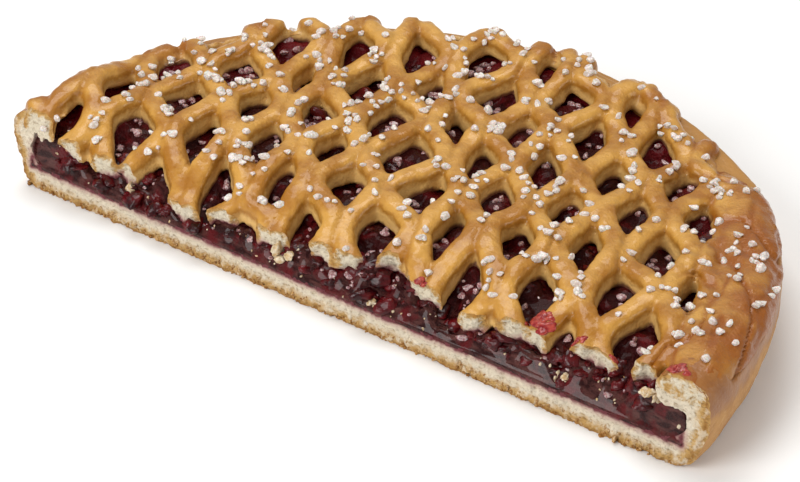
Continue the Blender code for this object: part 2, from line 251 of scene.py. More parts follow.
def settle(made):
    """Turns what the modifiers make of an object into its own mesh."""
    shown = made.evaluated_get(bpy.context.evaluated_depsgraph_get())
    mesh = bpy.data.meshes.new_from_object(shown)
    made.modifiers.clear()
    made.data = mesh
    return made


def torn_block(setback, look, layer):
    """A block that fills the space behind the cut and has a finely torn front."""
    bm = bmesh.new()
    bmesh.ops.create_grid(bm, x_segments=round(BLOCK_WIDTH / TEAR_GAP),
                          y_segments=round(BLOCK_HEIGHT / TEAR_GAP), size=0.5)
    for vert in bm.verts:
        x, z = vert.co.x * BLOCK_WIDTH, (vert.co.y + BLOCK_MIDDLE) * BLOCK_HEIGHT
        tear = rough(Vector((x, 0.0, z)), TEAR_SIZES, layer)
        vert.co = (x, CUT_Y + setback(x, z) + tear, z)
    pull_and_close(bm, 1, BACK_Y)
    return object_from(bm, "torn_block", look)


def tear_off(made, block):
    """Leaves only what lies behind the torn front; its new faces take the block's material."""
    cut = made.modifiers.new("tear", "BOOLEAN")
    cut.operation = "INTERSECT"
    cut.solver = "MANIFOLD"
    cut.material_mode = "TRANSFER"
    cut.object = block
    settle(made)
    bpy.data.objects.remove(block)
    bm = bmesh.new()
    bm.from_mesh(made.data)
    bmesh.ops.triangulate(bm, faces=[face for face in bm.faces if len(face.verts) > 4])
    bm.to_mesh(made.data)
    bm.free()
    made.data.shade_smooth()
    made.data.set_sharp_from_angle(angle=math.radians(50.0))


def face_behind(x):
    """How far behind the cut's plane the broken face stands; less than nothing is before it."""
    return -FACE_FORWARD - FACE_SKEW * x


def end_tear(x, z):
    """How far behind the cut the dough is torn; it leans, and the ends slope back at their tops."""
    slope = END_SLOPE_RIGHT if x > 0.0 else END_SLOPE_LEFT
    top = slope * smooth_step(0.0225, 0.0325, z) * smooth_step(0.105, 0.112, abs(x))
    return face_behind(x) - FACE_LEAN * (1.0 - smooth_step(-0.002, BASE_TOP + 0.001, z)) + top


def tree_of(made, steepest=-2.0):
    """The surface of a piece for measuring, without faces that look down more than steepest."""
    bm = bmesh.new()
    bm.from_mesh(made.data)
    under = [face for face in bm.faces if face.normal.z < steepest]
    bmesh.ops.delete(bm, geom=under, context="FACES")
    tree = BVHTree.FromBMesh(bm)
    bm.free()
    return tree


def write_value(made, name, measure):
    """Stores a number in each point of a piece, for its material to read."""
    layer = made.data.attributes.new(name, "FLOAT", "POINT")
    for vert, item in zip(made.data.vertices, layer.data):
        item.value = measure(vert)


def write_distance(made, name, tree, farthest=0.012):
    """Stores in each point how far it lies from another surface, in millimetres."""
    def distance(vert):
        nearest = tree.find_nearest(vert.co, farthest)
        return 1000.0 * (farthest if nearest[0] is None else nearest[3])
    write_value(made, name, distance)


def linear(colour):
    """An sRGB hex colour as linear light."""
    channels = [int(colour[at:at + 2], 16) / 255.0 for at in (1, 3, 5)]
    return (*[c / 12.92 if c <= 0.04045 else ((c + 0.055) / 1.055) ** 2.4 for c in channels], 1.0)


def new_material(name):
    """A material without nodes, its node tree, and the place that its patterns follow."""
    made = bpy.data.materials.new(name)
    made.use_nodes = True
    made.node_tree.nodes.clear()
    return made, made.node_tree, add(made.node_tree, "TexCoord", output="Object")


def add(tree, kind, inputs=None, output=0, **settings):
    """Adds a shader node with its settings and gives one of its outputs; each input is a value
    or another node's output."""
    made = tree.nodes.new("ShaderNode" + kind)
    for name, value in settings.items():
        setattr(made, name, value)
    for name, value in (inputs or {}).items():
        if isinstance(value, bpy.types.NodeSocket):
            tree.links.new(value, made.inputs[name])
        else:
            made.inputs[name].default_value = value
    return made.outputs[output] if made.outputs else None


def per_mm(size):
    """Texture scale, in metres, of a pattern whose parts are this many millimetres wide."""
    return 1000.0 / size


def torn_crumb(name, brown, pale, toasted, skin):
    """Soft baked crumb, torn open: matt, pale and full of small holes, with painted shade in the
    holes, browner towards the skin over some millimetres, and stained by the juice next to the filling."""
    made, tree, place = new_material(name)
    depth = add(tree, "Attribute", attribute_name="skin_depth", output="Fac")
    juice = add(tree, "Attribute", attribute_name="from_filling", output="Fac")
    lumps = add(tree, "TexNoise", {"Vector": place, "Scale": per_mm(3.0), "Detail": 5.0,
                                   "Roughness": 0.62})
    flat = add(tree, "Mapping", {"Vector": place, "Scale": (0.6, 1.0, 1.0)})
    holes = add(tree, "TexNoise", {"Vector": flat, "Scale": per_mm(1.0), "Detail": 4.0, "Roughness": 0.65})
    wander = add(tree, "Math", {0: lumps, 1: 4.4, 2: -2.2}, operation="MULTIPLY_ADD")
    ripple = add(tree, "Math", {0: holes, 1: 3.0, 2: -1.5}, operation="MULTIPLY_ADD")
    rippled = add(tree, "Math", {0: depth, 1: wander}, operation="ADD")
    uneven = add(tree, "Math", {0: rippled, 1: ripple}, operation="ADD")
    inner = add(tree, "MapRange", {"Value": uneven, "From Min": brown * 0.55, "From Max": brown * 1.25})
    outer = add(tree, "MapRange", {"Value": uneven, "From Min": -0.6, "From Max": brown * 0.55})
    crumb = add(tree, "Mix", {SHARE: inner, FIRST: linear(toasted), SECOND: linear(pale)}, **COLOURS)
    baked = add(tree, "Mix", {SHARE: outer, FIRST: linear(skin), SECOND: crumb}, **COLOURS)
    # painted shade: grey-brown flecks where the holes lie deepest in the bump
    painted_pore_shade = add(tree, "MapRange", {"Value": holes, "From Min": 0.47, "From Max": 0.33, "To Max": 0.62})
    pores_with_painted_shade = add(tree, "Mix", {SHARE: painted_pore_shade, FIRST: baked, SECOND: linear("#8F7047")}, **COLOURS)
    flake = add(tree, "MapRange", {"Value": lumps, "From Min": 0.53, "From Max": 0.66, "To Max": 0.55})
    flecked = add(tree, "Mix", {SHARE: flake, FIRST: pores_with_painted_shade, SECOND: linear("#F0E4CF")}, **COLOURS)
    reach = add(tree, "Math", {0: lumps, 1: -1.6, 2: 0.8}, operation="MULTIPLY_ADD")
    soaked = add(tree, "Math", {0: juice, 1: reach}, operation="ADD")
    pink = add(tree, "MapRange", {"Value": soaked, "From Min": 2.4, "From Max": 0.6, "To Max": 0.75})
    blushed = add(tree, "Mix", {SHARE: pink, FIRST: flecked, SECOND: linear("#B98A84")}, **COLOURS)
    purple = add(tree, "MapRange", {"Value": soaked, "From Min": 1.1, "From Max": 0.3, "To Max": 0.92})
    colour = add(tree, "Mix", {SHARE: purple, FIRST: blushed, SECOND: linear("#6E2C38")}, **COLOURS)
    coarse = add(tree, "Bump", {"Height": lumps, "Strength": 0.9, "Distance": 0.0018})
    bump = add(tree, "Bump", {"Height": holes, "Normal": coarse, "Strength": 1.0, "Distance": 0.0011})
    shader = add(tree, "BsdfPrincipled", {"Base Color": colour, "Roughness": 0.92,
                                          "Specular IOR Level": 0.2, "Normal": bump})
    add(tree, "OutputMaterial", {"Surface": shader})
    return made


def baked_wall():
    """Dough baked against a tin: dry, brown and slightly scuffed, with the glaze's gloss only
    near the rim.  Millimetre blisters and darker patches a few millimetres wide show on it."""
    made, tree, place = new_material("tin_baked_dough")
    height = add(tree, "SeparateXYZ", {0: place}, output=2)
    patches = add(tree, "TexNoise", {"Vector": place, "Scale": per_mm(9.0), "Detail": 5.0,
                                     "Roughness": 0.6})
    scuffs = add(tree, "TexNoise", {"Vector": place, "Scale": per_mm(1.3), "Detail": 4.0})
    wander = add(tree, "Math", {0: patches, 1: 0.009, 2: height}, operation="MULTIPLY_ADD")
    glazed = add(tree, "MapRange", {"Value": wander, "From Min": 0.0225, "From Max": 0.0275,
                                    "To Max": 1.0}, interpolation_type="SMOOTHSTEP")
    dark = add(tree, "MapRange", {"Value": patches, "From Min": 0.40, "From Max": 0.66, "To Max": 0.8})
    pale = add(tree, "MapRange", {"Value": scuffs, "From Min": 0.52, "From Max": 0.68, "To Max": 0.55})
    dry = add(tree, "Mix", {SHARE: dark, FIRST: linear("#B8884F"), SECOND: linear("#9A6633")}, **COLOURS)
    scuffed = add(tree, "Mix", {SHARE: pale, FIRST: dry, SECOND: linear("#C49A66")}, **COLOURS)
    side = add(tree, "Mix", {SHARE: dark, FIRST: linear("#9C652C"), SECOND: linear("#86501F")}, **COLOURS)
    behind = add(tree, "SeparateXYZ", {0: place}, output=1)
    back = add(tree, "MapRange", {"Value": behind, "From Min": -0.010, "From Max": 0.025})
    shiny = add(tree, "Mix", {SHARE: back, FIRST: side, SECOND: linear("#B07C36")}, **COLOURS)
    colour = add(tree, "Mix", {SHARE: glazed, FIRST: scuffed, SECOND: shiny}, **COLOURS)
    gloss = add(tree, "MapRange", {"Value": glazed, "To Min": 0.78, "To Max": 0.34})
    bump = add(tree, "Bump", {"Height": scuffs, "Strength": 0.5, "Distance": 0.0005})
    shader = add(tree, "BsdfPrincipled", {"Base Color": colour, "Roughness": gloss, "Normal": bump})
    add(tree, "OutputMaterial", {"Surface": shader})
    return made


wall_skin = baked_wall()
base_crumb = torn_crumb("torn_crumb_of_the_base", 3.4, "#E6D8C0", "#CBA264", "#9A682F")

outline = [Vector(point) for point in BOTTOM_OUTLINE]
outline += curve_through([Vector(point) for point in WALL_OUTLINE], OUTLINE_GAP)[1:]
outline += [Vector(point) for point in INSIDE_OUTLINE[1:]]
bm = spun(outline, closed=False)
for face in bm.faces:
    middle = face.calc_center_median()
    filled = FILLED_HEIGHTS[0] < middle.z < FILLED_HEIGHTS[1]
    hidden = (middle - PIE_CENTRE).xy.length < FILLED_RADIUS and filled
    face.material_index = 1 if hidden else 0
shape_wall(bm)
for vert in bm.verts:
    offset = vert.co - PIE_CENTRE
    radius = offset.xy.length
    behind = vert.co.y - CUT_Y
    inland = smooth_step(0.0090, 0.0140, behind)
    scalloped = past_margin(direction(vert.co.x, vert.co.y))
    covered = inland * smooth_step(CURL_FOOT - SCALLOPED_FOOT * scalloped, 0.0290, vert.co.z)
    vert.co.z -= (COVERED_LOWER + SCALLOPED_LOWER * scalloped) * covered
    if radius > WALL_RADIUS:
        outward = Vector((offset.x / radius, offset.y / radius, 0.0))
        fade = smooth_step(0.0005, 0.0040, vert.co.z)
        left = smooth_step(0.090, 0.110, -vert.co.x) * (1.0 - inland)
        curl = inland * (1.0 - smooth_step(0.119, 0.128, radius))
        curl += 0.55 * left * (1.0 - smooth_step(0.117, 0.124, radius))
        curl *= smooth_step(0.016, 0.020, vert.co.z)
        vert.co.z -= HOOK_LOWER * left * smooth_step(0.0240, 0.0300, vert.co.z)
        fuller = END_FULLER * smooth_step(0.110, 0.126, vert.co.x)
        fuller *= 1.0 - smooth_step(0.006, 0.024, behind)
        fuller *= smooth_step(0.124, 0.130, radius)
        shift = rough(vert.co, WALL_WRINKLES) * fade + fuller * smooth_step(0.0, 0.0012, vert.co.z)
        inward = (COVERED_INWARD + SCALLOPED_INWARD * scalloped) * covered
        inward *= smooth_step(0.1230, 0.1270, radius)
        pushed = (CURL_OUTWARD + CURL_OUTWARD_INLAND * inland) * curl
        vert.co += outward * (shift - inward + pushed)
        if radius < 0.1265:
            thinner = smooth_step(0.0186, 0.0200, vert.co.z) * (1.0 - smooth_step(0.0235, 0.0280, vert.co.z))
            vert.co.z += HOOK_THINNER * left * thinner
crust = object_from(bm, "dough_crust", wall_skin, base_crumb)
outside = [Vector(point) for point in (*BOTTOM_OUTLINE, *WALL_OUTLINE[1:14])]
bm = spun(outside, closed=False)
shape_wall(bm)
outer_skin = BVHTree.FromBMesh(bm)
bm.free()
tear_off(crust, torn_block(end_tear, base_crumb, 1.0))
for vert in crust.data.vertices:
    if vert.co.y < CUT_Y + face_behind(vert.co.x) + 0.0030 and vert.co.z < RAGGED_HEIGHT:
        fade = 1.0 - vert.co.z / RAGGED_HEIGHT
        vert.co.z += max(0.0, rough(vert.co, RAGGED_SIZES, 5.0)) * fade
        vert.co.y += max(rough(vert.co, RAGGED_SIZES, 8.0) * 0.5, -0.0002) * fade
write_distance(crust, "skin_depth", outer_skin)
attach(crust, "root")
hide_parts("crust")

# ---------------------------------------------------------------- cherry filling
# Cherries cooked with their juice and starch: a dark wine-red jelly, set but wet, spooned on the
# base.  It lies close under the lattice, lumpy with fruit, and slumps where the pie was broken.
LID_THICKNESS = 0.0075
LID_TOP = 0.0295
BORDER_TOP = 0.0322
LID_SAG = 0.0072
SAG_LENGTH = 0.016
SOFT_SPOTS = ((-0.062, 0.020, 0.0040), (-0.026, 0.010, 0.0018), (0.046, 0.010, 0.0020))
FILLING_RADIUS = 0.1284
FILLING_WIDE_STEPS = 300
FILLING_DEEP_STEPS = 150
FRONT_ROWS = 70                    # rows of points close together near the cut
FRONT_DEPTH = 0.028
JELLY_RISE = -0.0002               # its top against the solid lid's underside
JELLY_FOOT = 0.0088                # height of its front edge on the base
JELLY_FRONT = 0.0030               # it rises this much right behind the edge,
JELLY_SLOPE = 0.48                 # then at this slope up to the lid,
JELLY_ENDS = 0.0080                # and this much more at either end of the cut
JELLY_WAVES = 0.0022
JELLY_FOLDS = 0.0022
JELLY_DIPS = 0.6                   # share of the rim's dips that it follows
JELLY_TOP = 0.0262
JELLY_SUNK = 0.0008                # its underside reaches this far into the base
CHERRY_DOME = 0.0026
CHERRY_WIDTH = 0.0105


def from_centre(x, y):
    """Distance from the pie's upright axis."""
    return math.hypot(x - PIE_CENTRE.x, y - PIE_CENTRE.y)


def lid_top(x, y):
    """Height of the strands' crowns, as in the solid lid."""
    near_border = smooth_step(0.098, 0.124, from_centre(x, y))
    droop = LID_SAG + bumps(x, SOFT_SPOTS)
    behind_cut = max(y - CUT_Y, 0.0)
    sag = droop * math.exp(-((behind_cut / SAG_LENGTH) ** 2)) * (1.0 - 0.75 * near_border)
    return LID_TOP + (BORDER_TOP - LID_TOP) * near_border - sag


def cherry_lumps(x, y):
    """Height of the rounded lumps of the cherries in the jelly."""
    place = Vector((x, y, 0.0)) / CHERRY_WIDTH
    near = noise.voronoi(place)[0][0]
    dome = math.sqrt(max(0.0, 1.0 - (near / 0.62) ** 2))
    return CHERRY_DOME * dome + rough(place, ((0.5, 0.0007), (0.2, 0.0003)))


def jelly_height(x, y):
    """The jelly's top: held up by the lattice, slumping to the base at the cut."""
    behind = max(y - CUT_Y - face_behind(x), 0.0)
    radius = from_centre(x, y)
    angle = direction(x, y)
    dip = JELLY_DIPS * rim_unevenness(angle) * smooth_step(0.09, 0.12, radius)
    under_lid = lid_top(x, y) - LID_THICKNESS + JELLY_RISE + dip
    wavy = JELLY_WAVES * noise.noise(Vector((x / 0.010, 4.0, 0.0)))
    slump = JELLY_FOOT + (JELLY_FRONT + wavy) * (1.0 - math.exp(-behind / 0.0020)) + JELLY_SLOPE * behind
    slump += JELLY_ENDS * smooth_step(0.100, 0.118, abs(x)) * smooth_step(0.0, 0.003, behind)
    folds = JELLY_FOLDS * noise.noise(Vector((x / 0.0050, y / 0.012, 2.0)))
    folds *= smooth_step(0.020, 0.008, behind)
    bulges = cherry_lumps(x, y) - CHERRY_DOME / 2.0 + folds
    height = min(under_lid, slump) + bulges * smooth_step(0.0, 0.004, behind)
    under_hook = smooth_step(0.112, 0.118, radius) * (1.0 - smooth_step(0.006, 0.014, y - CUT_Y))
    limit = JELLY_TOP - 0.0064 * under_hook - 0.0045 * smooth_step(0.1252, 0.1284, radius)
    return max(min(height, limit), BASE_TOP + 0.0001)


def set_jelly():
    """Fruit jelly: glossy as glass and wet, so dark a wine red that only thin edges and lights
    show its colour; fine ripples a millimetre or two wide break up its reflections.  Near the cut
    its pale plum-grey streaks are partly the gel's cloudy colour and partly painted sheen; towards
    the rim a redder colour is painted light shining through it."""
    made, tree, place = new_material("cherry_jelly")
    fruit = add(tree, "TexNoise", {"Vector": place, "Scale": per_mm(7.0), "Detail": 3.0})
    ripples = add(tree, "TexNoise", {"Vector": place, "Scale": per_mm(2.2), "Detail": 4.0,
                                     "Roughness": 0.6})
    streaks = add(tree, "Mapping", {"Vector": place, "Scale": (0.35, 1.0, 1.0)})
    gel = add(tree, "TexNoise", {"Vector": streaks, "Scale": per_mm(2.6), "Detail": 4.0,
                                 "Distortion": 1.2})
    red = add(tree, "MapRange", {"Value": fruit, "From Min": 0.52, "From Max": 0.66})
    behind = add(tree, "SeparateXYZ", {0: place}, output=1)
    front = add(tree, "MapRange", {"Value": behind, "From Min": CUT_Y + 0.012, "From Max": CUT_Y + 0.003})
    # near the cut: pale plum-grey streaks, partly the gel's cloudy colour and partly painted sheen
    gel_sheen_share = add(tree, "MapRange", {"Value": gel, "From Min": 0.40, "From Max": 0.62})
    gel_and_painted_sheen = add(tree, "Mix", {SHARE: gel_sheen_share, FIRST: linear("#260808"), SECOND: linear("#54302C")},
                 **COLOURS)
    deep = add(tree, "Mix", {SHARE: front, FIRST: linear("#2C0708"), SECOND: gel_and_painted_sheen}, **COLOURS)
    mixed = add(tree, "Mix", {SHARE: red, FIRST: deep, SECOND: linear("#560D12")}, **COLOURS)
    out = add(tree, "VectorMath", {0: place, 1: (PIE_CENTRE.x, PIE_CENTRE.y, 0.024)}, operation="DISTANCE",
              output="Value")
    # painted light: a redder glow towards the rim and away from the cut, where light would shine through the
    # jelly
    thin = add(tree, "MapRange", {"Value": out, "From Min": 0.100, "From Max": 0.122, "To Max": 0.62})
    inland = add(tree, "MapRange", {"Value": behind, "From Min": CUT_Y + 0.006, "From Max": CUT_Y + 0.016})
    painted_glow = add(tree, "Math", {0: thin, 1: inland}, operation="MULTIPLY")
    colour = add(tree, "Mix", {SHARE: painted_glow, FIRST: mixed, SECOND: linear("#6E0F18")}, **COLOURS)
    wet = add(tree, "MapRange", {"Value": front, "To Min": 0.08, "To Max": 0.32})
    bump = add(tree, "Bump", {"Height": ripples, "Strength": 1.0, "Distance": 0.0018})
    shader = add(tree, "BsdfPrincipled", {"Base Color": colour, "Roughness": 0.14, "IOR": 1.42,
                                          "Specular IOR Level": 0.20, "Specular Tint": linear("#D88C88"),
                                          "Coat Weight": wet, "Coat Roughness": 0.04, "Normal": bump})
    add(tree, "OutputMaterial", {"Surface": shader})
    return made


bm = bmesh.new()
bmesh.ops.create_grid(bm, x_segments=FILLING_WIDE_STEPS, y_segments=FILLING_DEEP_STEPS, size=0.5)
back_depth = FILLING_RADIUS + 0.008 - FRONT_DEPTH
for vert in bm.verts:
    row = round((vert.co.y + 0.5) * FILLING_DEEP_STEPS)
    near = FRONT_DEPTH * min(row / FRONT_ROWS, 1.0)
    far = back_depth * max(row - FRONT_ROWS, 0) / (FILLING_DEEP_STEPS - FRONT_ROWS)
    vert.co.x = PIE_CENTRE.x + vert.co.x * 2.0 * FILLING_RADIUS
    vert.co.y = CUT_Y + near + far + (face_behind(vert.co.x) - 0.0002) * (1.0 - near / FRONT_DEPTH)
beyond = [face for face in bm.faces
          if any(from_centre(vert.co.x, vert.co.y) > FILLING_RADIUS for vert in face.verts)]
bmesh.ops.delete(bm, geom=beyond, context="FACES")
for vert in bm.verts:
    vert.co.z = jelly_height(vert.co.x, vert.co.y)
pull_and_close(bm, 2, BASE_TOP - JELLY_SUNK)
filling = object_from(bm, "cherry_filling", set_jelly())
filling.data.shade_smooth()
filling.data.set_sharp_from_angle(angle=math.radians(75.0))
filling_tree = tree_of(filling)
write_distance(crust, "from_filling", filling_tree)
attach(filling, "root")
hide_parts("filling")

# ---------------------------------------------------------------- cherries
# Pitted sour cherries, halved and torn by the stirring.  They are cooked soft and lie in the
# jelly, wet and ruby red where the light gets into them.
CHERRIES_AT_CUT = 150
CHERRIES_IN_OPENINGS = 120
SIZES_AT_CUT = (0.0010, 0.0034)    # half widths
SIZES_IN_OPENINGS = (0.0022, 0.0042)


def add_copy(bm, template, place):
    """Adds a copy of a small template mesh, put in its place."""
    template.transform(place)
    bm.from_mesh(template)
    template.transform(place.inverted())


def tipped(chance, most):
    """A tilt of up to so many radians, and any turn about the upright axis, drawn at random."""
    tilt = Matrix.Rotation(chance.uniform(-most, most), 4, "X")
    return tilt @ Matrix.Rotation(chance.uniform(0.0, math.tau), 4, "Z")


def lump(steps, sizes, layer):
    """A small round lump of unit radius, made uneven by noise."""
    bm = bmesh.new()
    bmesh.ops.create_icosphere(bm, subdivisions=steps, radius=1.0)
    for vert in bm.verts:
        vert.co *= 1.0 + rough(vert.co, sizes, layer)
    return mesh_from(bm, "lump")


def cherry_flesh():
    """Cooked cherry flesh: soft, wet and see-through at its thin edges, ruby to dark wine red,
    with a fine pulpy grain under half a millimetre and a sharp wet gloss."""
    made, tree, place = new_material("cooked_cherry")
    pulp = add(tree, "TexNoise", {"Vector": place, "Scale": per_mm(5.0), "Detail": 4.0})
    grain = add(tree, "TexNoise", {"Vector": place, "Scale": per_mm(0.9), "Detail": 3.0})
    share = add(tree, "MapRange", {"Value": pulp, "From Min": 0.38, "From Max": 0.62})
    colour = add(tree, "Mix", {SHARE: share, FIRST: linear("#2A0507"), SECOND: linear("#5E0F14")},
                 **COLOURS)
    bump = add(tree, "Bump", {"Height": grain, "Strength": 0.5, "Distance": 0.0005})
    shader = add(tree, "BsdfPrincipled", {"Base Color": colour, "Roughness": 0.14, "IOR": 1.42,
                                          "Specular IOR Level": 0.30, "Subsurface Weight": 0.25,
                                          "Subsurface Scale": 0.002,
                                          "Subsurface Radius": (1.0, 0.18, 0.12), "Coat Weight": 0.15,
                                          "Coat Roughness": 0.04, "Normal": bump})
    add(tree, "OutputMaterial", {"Surface": shader})
    return made


draw = random.Random(31)
lumps = [lump(3, ((1.1, 0.60), (0.45, 0.34), (0.2, 0.12)), float(kind)) for kind in range(6)]
bm = bmesh.new()
for count in range(CHERRIES_AT_CUT + CHERRIES_IN_OPENINGS):
    if count < CHERRIES_AT_CUT:
        x = draw.uniform(-0.119, 0.119)
        y = CUT_Y + draw.uniform(0.0014, 0.0120)
        size = draw.uniform(*SIZES_AT_CUT)
    else:
        around, out = draw.uniform(0.0, math.pi), 0.116 * math.sqrt(draw.random())
        x, y = PIE_CENTRE.x + out * math.cos(around), PIE_CENTRE.y + out * math.sin(around)
        size = draw.uniform(*SIZES_IN_OPENINGS)
    sunk = jelly_height(x, y) - size * draw.uniform(0.40, 0.90)
    if sunk - size < BASE_TOP:
        sunk = BASE_TOP + size * 0.8
    stretch = Matrix.Diagonal((size * draw.uniform(0.9, 2.0), size, size * draw.uniform(0.45, 0.8), 1.0))
    place = Matrix.Translation((x, y, sunk)) @ tipped(draw, 0.6) @ stretch
    add_copy(bm, lumps[count % len(lumps)], place)
cherries = object_from(bm, "cherry_pieces", cherry_flesh())
cherries.data.shade_smooth()
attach(cherries, "root")

# ---------------------------------------------------------------- lattice lid
# A second round of dough, slit by a lattice roller and pulled open, so that wavy strands hang
# together side by side.  It is laid over the filling, pressed onto the wall with its ends rolled
# over, brushed with egg and baked glossy golden brown; along the cut the strands are torn off.
STEP_RIGHT = Vector((0.01795, -0.01465))
STEP_FRONT = Vector((-0.00281, -0.02390))
FIRST_EYE = Vector((-0.0660, 0.0270))
JITTER = 0.0015                    # spread of the junctions about their even places
STRANDS = range(-12, 22)
COLUMNS = range(-6, 14)            # of junctions
STRAND_WIDTH = 0.0080
STRAND_FLARE = 0.24                # each strand's foot is this much wider than its crown
STRAND_DEEPER = 0.0012             # its foot reaches this far below the solid lid, into the jelly
STRAND_APART = 0.0023              # from a junction's middle to the crown of either strand
STRAND_BOND = 0.0040               # they run side by side this far on both sides of the middle
STRAND_GAP = 0.0017                # between the rings of points along a strand
MARGIN_REACH = 0.1195              # strands run this far from the middle where the margin is broad,
RIM_REACH = 0.0134                 # and this much further elsewhere, over the rim
CROWN_FALL = 0.0044                # there their crowns come down this much
FALL_LENGTH = 0.0088               # over this length
SEAM_GAP = 0.0006                  # between the points from which a seam's place is measured
SEAM_WIDTH = 0.0017
SEAM_DEPTH = 0.0006
SEAM_STEP = 0.00060                # one of two bonded strands stands this much higher
SEAM_FADE = 0.0030
STRAND_SIDES = 18
CROWN_POWER = 3.2                  # of a strand's upper half; 2 is an ellipse, more is squarer
WALL_POWER = 7.0                   # of its lower half, whose sides stand nearly upright
ROLL_RADIUS = 0.1254
NARROWER = 0.80                    # between strand ends the roll's inner half shrinks by this share
ROLL_WIDER = 0.0070                # along the broad margin the roll reaches this much further in,
ROLL_SUNK = 0.0012                 # lies this much lower
ROLL_THINNER = 0.0022              # and is this much thinner
ROLL_DRAWN_IN = 0.0044             # under strands that run over it, it lies this much further in
ROLL_LOWER = 0.0028                # and this much lower
HOOK_LIFTED = 0.0030               # the left end's underside is raised this much
VOXEL = 0.00096                    # mesh size at which strands and roll become one dough
SOFTENED = 4                       # rounds of smoothing that round it off
SKIN_WANDER = ((0.0080, 0.00045), (0.0038, 0.00034), (0.0018, 0.00016))
FOLD_DEPTH = 0.0010                # of the creases in the broad margin
FOLD_WIDTH = 0.10
RIM_BROWN = 0.30                   # how brown the rim baked, from 0, golden, to 1
MARGIN_BROWN = 0.60                # and how much browner it is along the margin
BREAK_LINE = 0.0034                # the torn ends lie this far behind the cut on the whole
BREAK_SLANT = 0.18                 # they slant back towards their undersides,
BREAK_TOP = 0.0235                 # from this height
BREAK_FOOT = 0.0120                # down to this one
RAGGED_ENDS = ((0.0085, 0.0022), (0.0032, 0.0011))
BREAKS = (                         # (place along the cut, half width, further behind the cut)
    (-0.110, 0.009, -0.0028), (-0.062, 0.016, -0.0036), (-0.028, 0.008, -0.0020),
    (0.016, 0.009, 0.0070), (0.047, 0.008, -0.0026), (0.094, 0.014, 0.0024),
)
ROLL_OUTLINE = (                   # (radius, height), closed: over the roll and back underneath
    (0.1342, 0.0248), (0.1341, 0.0270), (0.1325, 0.0297), (0.1293, 0.0315), (0.1254, 0.0320),
    (0.1214, 0.0312), (0.1185, 0.0294), (0.1172, 0.0270), (0.1185, 0.0250), (0.1225, 0.0240),
    (0.1285, 0.0238), (0.1325, 0.0238),
)


def junction(column, row):
    """Where two strands hang together, seen from above, as in the solid lid."""
    pull = random.Random(1009 * column + row)
    place = FIRST_EYE + STEP_RIGHT * (column - 0.5) + STEP_FRONT * (row - 0.5)
    return place + Vector((pull.gauss(0.0, JITTER), pull.gauss(0.0, JITTER)))


def strand_line(number, gap=STRAND_GAP):
    """A strand's wavy line from above: it passes its neighbours' junctions in turn."""
    along = (STEP_RIGHT + STEP_FRONT).normalized()
    side = Vector((-along.y, along.x))
    points = []
    for column in COLUMNS:
        for step in (0, 1):
            place = junction(column + step, column - number)
            towards = side if step == 0 else -side
            beside = place + towards * STRAND_APART
            points += [beside - along * STRAND_BOND, beside + along * STRAND_BOND]
    near = [point for point in points
            if from_centre(point.x, point.y) < 0.165 and point.y > CUT_Y - 0.030]
    return curve_through(near, gap) if len(near) > 2 else []


def strand_reach(x, y):
    """How far from the middle a strand runs: over the rim, or only into the margin on the right."""
    return MARGIN_REACH + RIM_REACH * past_margin(direction(x, y), 0.12, 0.12)


def strand_crown(x, y, proud):
    """Height of a strand's crown; over the border it follows the roll down to the rim."""
    radius = from_centre(x, y)
    over = max(0.0, (radius - ROLL_RADIUS) / FALL_LENGTH)
    fall = CROWN_FALL * (1.0 - math.sqrt(max(0.0, 1.0 - min(over, 0.98) ** 2)))
    angle = direction(x, y)
    margin = 1.0 - past_margin(angle, 0.12, 0.12)
    sunk = ROLL_SUNK * margin * smooth_step(0.108, 0.118, radius)
    return lid_top(x, y) + proud - fall - sunk + rim_unevenness(angle) * smooth_step(0.09, 0.12, radius)


def add_strand(bm, number):
    """Draws one strand as a rounded bar, ring by ring along its line."""
    line = [point for point in strand_line(number)
            if from_centre(point.x, point.y) < strand_reach(point.x, point.y) and point.y > CUT_Y - 0.004]
    if len(line) < 4:
        return
    pull = random.Random(77 + number)
    proud = pull.uniform(-0.00035, 0.00055)
    ring = bmesh.ops.create_circle(bm, segments=STRAND_SIDES, radius=1.0, cap_ends=True)["verts"]
    edges = list({edge for vert in ring for edge in vert.link_edges})
    rings = [ring]
    for _ in line[1:]:
        grown = bmesh.ops.extrude_edge_only(bm, edges=edges)["geom"]
        edges = [item for item in grown if isinstance(item, bmesh.types.BMEdge)]
        edges = [edge for edge in edges if all(vert not in rings[-1] for vert in edge.verts)]
        rings.append([item for item in grown if isinstance(item, bmesh.types.BMVert)])
    bmesh.ops.contextual_create(bm, geom=edges)
    last = len(line) - 1
    for at, (point, verts) in enumerate(zip(line, rings)):
        ahead = (line[min(at + 1, last)] - line[max(at - 1, 0)]).normalized()
        across = Vector((-ahead.y, ahead.x))
        swell = noise.noise(Vector((at * STRAND_GAP / 0.011, number * 3.7, 1.0)))
        lift = noise.noise(Vector((at * STRAND_GAP / 0.016, number * 5.1, 9.0)))
        end = min(at, last - at) / 2.0
        taper = math.sqrt(1.0 - (1.0 - min(end, 1.0)) ** 2) if end < 1.0 else 1.0
        wide = STRAND_WIDTH / 2.0 * (1.0 + 0.16 * swell) * max(taper, 0.35)
        high = LID_THICKNESS / 2.0 * (1.0 + 0.10 * swell) * max(taper, 0.35)
        middle = strand_crown(point.x, point.y, proud + 0.0009 * lift) - LID_THICKNESS / 2.0
        inside = 1.0 - smooth_step(0.108, 0.118, from_centre(point.x, point.y))
        for side, vert in enumerate(verts):
            angle = math.tau * side / STRAND_SIDES
            cosine, sine = math.cos(angle), math.sin(angle)
            power = 2.0 / (CROWN_POWER if sine > 0.0 else WALL_POWER)
            flare = 1.0 + STRAND_FLARE * smooth_step(0.1, -0.9, sine) * inside
            sideways = math.copysign(abs(cosine) ** power, cosine) * wide * flare
            upward = math.copysign(abs(sine) ** power, sine) * high
            upward -= STRAND_DEEPER * smooth_step(0.2, -0.6, sine) * inside
            vert.co = (point.x + across.x * sideways, point.y + across.y * sideways, middle + upward)


